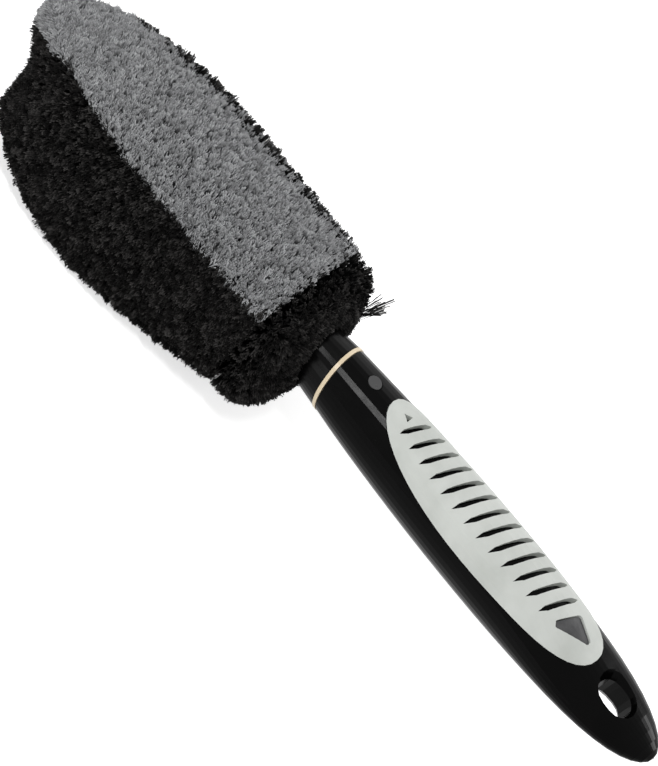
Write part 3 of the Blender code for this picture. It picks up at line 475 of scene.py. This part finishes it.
def bristle_material(name, root_painted_shade, middle, tip, dark, light, roughness, specular, even=0.5):
    """Strand colour from its root to its tip, darker towards the root as painted shade inside the tufts,
    lighter or darker from strand to strand.

    even is how far from dark to light the middling strand is: 0.5 is even, less leaves a few bright ones that
    stand for painted glints.
    """
    made, tree, shader = new_material(name, roughness, middle)
    shader.inputs["Specular IOR Level"].default_value = specular
    place = add_node(tree, "ShaderNodeUVMap", uv_map="OFBake")
    parts = add_node(tree, "ShaderNodeSeparateXYZ")
    tree.links.new(place.outputs["UV"], parts.inputs["Vector"])
    # darker from the tip towards the root: painted shade down inside the tufts; the light tip is the split
    # ends' own colour
    along = ramp(tree, parts.outputs["Y"], [(0.0, root_painted_shade), (0.6, middle), (0.94, tip)])
    middling = lerp(dark, light, even)
    shade = ramp(tree, parts.outputs["X"], [(0.0, (dark,) * 3), (0.5, (middling,) * 3), (1.0, (light,) * 3)])
    mix = add_node(tree, "ShaderNodeMix", data_type="RGBA", blend_type="MULTIPLY")
    mix.inputs["Factor"].default_value = 1.0
    tree.links.new(along, mix.inputs["A"])
    tree.links.new(shade, mix.inputs["B"])
    tree.links.new(mix.outputs["Result"], shader.inputs["Base Color"])
    rough = add_node(tree, "ShaderNodeMapRange")
    rough.inputs["To Min"].default_value = roughness + STRAND_ROUGHNESS_SPREAD
    rough.inputs["To Max"].default_value = roughness - STRAND_ROUGHNESS_SPREAD
    tree.links.new(parts.outputs["X"], rough.inputs["Value"])
    tree.links.new(rough.outputs["Result"], shader.inputs["Roughness"])
    return made


def gloss_plastic(name, base, worn, rough, specular, patch_scale=45.0):
    """Moulded plastic: a faint wavy skin, fine rub marks and slight dullness in patches."""
    made, tree, shader = new_material(name, rough[0], base)
    shader.inputs["Specular IOR Level"].default_value = specular
    patches = noise(tree, patch_scale, 4.0)
    colour = ramp(tree, patches, [(0.35, base), (0.75, worn)])
    tree.links.new(colour, shader.inputs["Base Color"])
    tree.links.new(spread(tree, noise(tree, 160.0, 5.0, 0.6), *rough), shader.inputs["Roughness"])
    bump(tree, shader, noise(tree, 90.0, 2.0), 0.05, 0.0004)
    return made


def soft_rubber(name, base, shadow, roughness):
    """Soft moulded rubber: a very fine even grain with a faint change of tone."""
    made, tree, shader = new_material(name, roughness, base)
    shader.inputs["Specular IOR Level"].default_value = 0.35
    tone = ramp(tree, noise(tree, 60.0, 4.0), [(0.3, shadow), (0.6, base)])
    tree.links.new(tone, shader.inputs["Base Color"])
    rough = spread(tree, noise(tree, 400.0, 4.0), roughness - ROUGHNESS_GRAIN, roughness + ROUGHNESS_GRAIN)
    tree.links.new(rough, shader.inputs["Roughness"])
    bump(tree, shader, noise(tree, 2600.0, 2.0), 0.12, 0.00012)
    return made


def plated_steel(name, colour, rough):
    made, tree, shader = new_material(name, rough[0], colour)
    shader.inputs["Metallic"].default_value = 1.0
    tree.links.new(spread(tree, noise(tree, 900.0), *rough), shader.inputs["Roughness"])
    return made


def give(node, skin):
    """A CAD node takes the material in every one of its slots."""
    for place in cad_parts[node].material_slots:
        place.material = skin


# ---------------------------------------------------------------- bristles
# both bristle colours darken from tip to root as painted shade inside the tufts
grey = bristle_material(
    "bristle_grey", root_painted_shade=(0.04, 0.041, 0.042), middle=(0.11, 0.112, 0.115), tip=(0.33, 0.334, 0.34),
    dark=0.45, light=1.4, roughness=0.55, specular=0.20)
# the black's few very light strands (light 7.0, even 0.13) are painted glints among the dark bristles
black = bristle_material(
    "bristle_black", root_painted_shade=(0.0005, 0.0005, 0.0005), middle=(0.001, 0.001, 0.001), tip=(0.010, 0.0096, 0.0093),
    dark=0.05, light=7.0, roughness=0.50, specular=0.04, even=0.13)


def long_field(side, places, width, seed, skin, slot, grey_corner=False):
    """One of the four long fields, a piece for each row; the sides' upper front corners are grey."""
    rng = np.random.default_rng(seed)
    length = TIP_REAR_X - TIP_FRONT_X
    lines, shade, _, v = grow(rng, places, round(length / TUFT_PITCH), round(width / TUFT_PITCH))
    row = np.minimum((v * ROWS).astype(int), ROWS - 1)
    tips = lines[:, -1]
    edge = tip_top_z(tips[:, 0]) - GREY_FALL * (GREY_CORNER_X - tips[:, 0])
    corner = grey_corner & (tips[:, 0] < GREY_CORNER_X) & (tips[:, 2] > edge)
    for k in range(ROWS):
        here = (row == k) & ~corner
        name = f"{side}_bristles_{k + 1}"
        bristle_piece(name, lines[here], shade[here], skin, slot, f"bristles_{side}_row_{k + 1}")
    if grey_corner:
        name = f"{side}_bristles_grey"
        bristle_piece(name, lines[corner], shade[corner], grey, "bristle_grey", f"bristles_{side}_row_{ROWS}")


def nose_field(seed):
    """The nose: grey in its upper middle, black round that."""
    lines, shade, _, _ = grow(np.random.default_rng(seed), nose_places, *NOSE_TUFTS)
    tips = lines[:, -1]
    upper = tips[:, 2] > GREY_NOSE_Z + GREY_NOSE_SLOPE * np.abs(tips[:, 1])
    bristle_piece("nose_bristles_grey", lines[upper], shade[upper], grey, "bristle_grey", "bristles_nose")
    lower = ~upper
    bristle_piece("nose_bristles_black", lines[lower], shade[lower], black, "bristle_black", "bristles_nose")


def heel_field(seed, rim_seed, stray_seed):
    """The heel with its rim and its stray wisps, in four pieces round the neck."""
    lines, shade, u, _ = grow(np.random.default_rng(seed), heel_places, *HEEL_TUFTS)
    rim_lines, rim_shade, rim_u, _ = grow(np.random.default_rng(rim_seed), heel_rim_places, *HEEL_RIM_TUFTS)
    stray_lines, stray_u = stray_strands(np.random.default_rng(stray_seed))
    lines = np.concatenate([lines, rim_lines, stray_lines])
    shade = np.concatenate([shade, rim_shade, np.full(len(stray_lines), STRAY_SHADE)])
    u = np.concatenate([u, rim_u, stray_u])
    last = len(HEEL_QUARTERS) - 1
    quarter = np.minimum((u * len(HEEL_QUARTERS)).astype(int), last)
    for k, place in enumerate(HEEL_QUARTERS):
        here = quarter == k
        name = f"heel_bristles_{place}"
        bristle_piece(name, lines[here], shade[here], black, "bristle_black", "bristles_heel")


SIDE_HEIGHT = TIP_TOP_Z - TIP_BOTTOM_Z
long_field("top", top_places, 2 * TIP_TOP_HALF_WIDTH, seed=11, skin=grey, slot="bristle_grey")
long_field("left", side_places(-1), SIDE_HEIGHT, seed=12, skin=black, slot="bristle_black", grey_corner=True)
long_field(
    "right", side_places(1, FAR_RISE), SIDE_HEIGHT, seed=13, skin=black, slot="bristle_black",
    grey_corner=True)
long_field("bottom", bottom_places, 2 * TIP_HALF_WIDTH, seed=14, skin=black, slot="bristle_black")
nose_field(seed=15)
heel_field(seed=16, rim_seed=17, stray_seed=18)

# ---------------------------------------------------------------- the moulded pieces
shell_skin = gloss_plastic(
    "handle_gloss_black", base=(0.001, 0.001, 0.001), worn=(0.002, 0.002, 0.002),
    rough=(0.13, 0.22), specular=0.05)
collar_skin = gloss_plastic(
    "collar_gloss_black", base=(0.0015, 0.0015, 0.0015), worn=(0.003, 0.003, 0.003),
    rough=(0.16, 0.26), specular=0.07)
plug_skin = gloss_plastic(
    "plug_satin_black", base=(0.022, 0.022, 0.023), worn=(0.030, 0.030, 0.030),
    rough=(0.24, 0.34), specular=0.35)
core_skin = gloss_plastic(
    "core_matt_black", base=(0.010, 0.010, 0.010), worn=(0.018, 0.018, 0.018),
    rough=(0.55, 0.70), specular=0.25)
ring_skin = gloss_plastic(
    "ring_cream", base=(0.74, 0.62, 0.44), worn=(0.66, 0.54, 0.37), rough=(0.28, 0.42), specular=0.45)
# the badge's dark grey stands for black plastic under a haze of softbox reflection: painted reflection
badge_painted_haze_skin = gloss_plastic(
    "badge_grey", base=(0.080, 0.080, 0.082), worn=(0.034, 0.034, 0.036), rough=(0.35, 0.50), specular=0.25,
    patch_scale=170.0)
pad_skin = soft_rubber("pad_grey_rubber", base=(0.57, 0.59, 0.56), shadow=(0.48, 0.50, 0.47), roughness=0.52)
steel_skin = plated_steel("screw_steel", (0.55, 0.56, 0.58), rough=(0.22, 0.42))

give("handle_shell", shell_skin)
give("neck_collar", collar_skin)
give("lock_plug", plug_skin)
give("head_core", core_skin)
give("neck_ring", ring_skin)
give("grip_badge", badge_painted_haze_skin)
give("grip_pad", pad_skin)
give("lock_screw", steel_skin)

# ---------------------------------------------------------------- floor, light and background
FLOOR_SIZE = 6.0
FLOOR_DROP = 0.0001         # the floor lies this far under the bristles
FLOOR_WHITE = 0.93
AMBIENT = 0.42              # strength of the studio's light from all round
FLOOR_GLOW = 0.58           # light the floor adds where it is seen or mirrored, so it reads as white


def seen_directly(tree):
    """1 for rays from the camera and for mirrored and transmitted ones, else 0."""
    paths = add_node(tree, "ShaderNodeLightPath")
    either = add_node(tree, "ShaderNodeMath", operation="MAXIMUM")
    any_of = add_node(tree, "ShaderNodeMath", operation="MAXIMUM")
    tree.links.new(paths.outputs["Is Camera Ray"], either.inputs[0])
    tree.links.new(paths.outputs["Is Glossy Ray"], either.inputs[1])
    tree.links.new(either.outputs[0], any_of.inputs[0])
    tree.links.new(paths.outputs["Is Transmission Ray"], any_of.inputs[1])
    return any_of.outputs[0]


floor_mesh = bpy.data.meshes.new("floor")
half = FLOOR_SIZE / 2
corners = [(-half, -half, 0), (half, -half, 0), (half, half, 0), (-half, half, 0)]
floor_mesh.from_pydata(corners, [], [(0, 1, 2, 3)])
floor = bpy.data.objects.new("floor", floor_mesh)
floor.location = (0, 0, -FLOOR_DROP)
bpy.context.scene.collection.objects.link(floor)
floor_skin, floor_tree, floor_shader = new_material("floor_white", 0.9, (FLOOR_WHITE,) * 3)
floor_shader.inputs["Specular IOR Level"].default_value = 0.0
glow = add_node(floor_tree, "ShaderNodeMath", operation="MULTIPLY")
glow.inputs[1].default_value = FLOOR_GLOW
floor_tree.links.new(seen_directly(floor_tree), glow.inputs[0])
floor_shader.inputs["Emission Color"].default_value = (1, 1, 1, 1)
floor_tree.links.new(glow.outputs[0], floor_shader.inputs["Emission Strength"])
floor.data.materials.append(floor_skin)

world = bpy.data.worlds.new("studio")
bpy.context.scene.world = world
world.use_nodes = True
world_tree = world.node_tree
background = world_tree.nodes["Background"]
background.inputs["Color"].default_value = (1.0, 1.0, 1.0, 1.0)
level = add_node(world_tree, "ShaderNodeMapRange")
level.inputs["To Min"].default_value = AMBIENT
level.inputs["To Max"].default_value = 1.0
world_tree.links.new(seen_directly(world_tree), level.inputs["Value"])
world_tree.links.new(level.outputs["Result"], background.inputs["Strength"])


def softbox(name, place, aim, size, power):
    lamp = bpy.data.lights.new(name, "AREA")
    lamp.shape = "RECTANGLE"
    lamp.size, lamp.size_y = size
    lamp.energy = power
    made = bpy.data.objects.new(name, lamp)
    made.location = place
    made.rotation_euler = (Vector(aim) - Vector(place)).to_track_quat("-Z", "Y").to_euler()
    bpy.context.scene.collection.objects.link(made)


HEAD_AND_NECK = (0.0, 0.0, 0.04)
HANDLE_END = (0.16, 0.0, 0.03)
softbox("key", place=(-0.14, -0.31, 0.87), aim=HEAD_AND_NECK, size=(0.40, 0.055), power=3.6)
softbox("fill", place=(-0.5, -0.9, 0.35), aim=(0.0, 0.0, 0.03), size=(0.5, 0.5), power=2.8)
softbox("back", place=(-0.2, 0.8, 0.6), aim=HEAD_AND_NECK, size=(0.9, 0.6), power=2.3)
softbox("rim", place=(0.58, 0.74, 0.36), aim=HANDLE_END, size=(0.35, 0.25), power=2.2)

# ---------------------------------------------------------------- camera
CAMERA_TURN = math.radians(4.0)         # from the brush's left side towards its handle end
CAMERA_RISE = math.radians(48.0)
CAMERA_ROLL = math.radians(47.35)
CAMERA_DISTANCE = 1.2
CAMERA_LENS = 189.5
CAMERA_SENSOR = 36.0
CAMERA_FAR = 20.0
AIM_X = 0.00145             # the camera looks at the neck joint, at about the handle's height
AIM_Z = 0.0415
AIM_LEFT = 0.00575          # and this far to the left of that and below it in the picture
AIM_DOWN = 0.0005
outward = Vector((
    math.sin(CAMERA_TURN) * math.cos(CAMERA_RISE), -math.cos(CAMERA_TURN) * math.cos(CAMERA_RISE),
    math.sin(CAMERA_RISE)))
level_right = Vector((math.cos(CAMERA_TURN), math.sin(CAMERA_TURN), 0.0))
level_up = outward.cross(level_right)
right = level_right * math.cos(CAMERA_ROLL) + level_up * math.sin(CAMERA_ROLL)
up = level_up * math.cos(CAMERA_ROLL) - level_right * math.sin(CAMERA_ROLL)
aim = Vector((AIM_X - MIDDLE_X, 0.0, AIM_Z)) - right * AIM_LEFT - up * AIM_DOWN
camera_data = bpy.data.cameras.new("camera")
camera_data.sensor_fit = "HORIZONTAL"
camera_data.sensor_width = CAMERA_SENSOR
camera_data.lens = CAMERA_LENS
camera_data.clip_end = CAMERA_FAR
camera = bpy.data.objects.new("camera", camera_data)
bpy.context.scene.collection.objects.link(camera)
turned = Matrix((right, up, outward)).transposed().to_4x4()
camera.matrix_world = Matrix.Translation(aim + outward * CAMERA_DISTANCE) @ turned
bpy.context.scene.camera = camera
bpy.context.scene.view_settings.view_transform = "Standard"
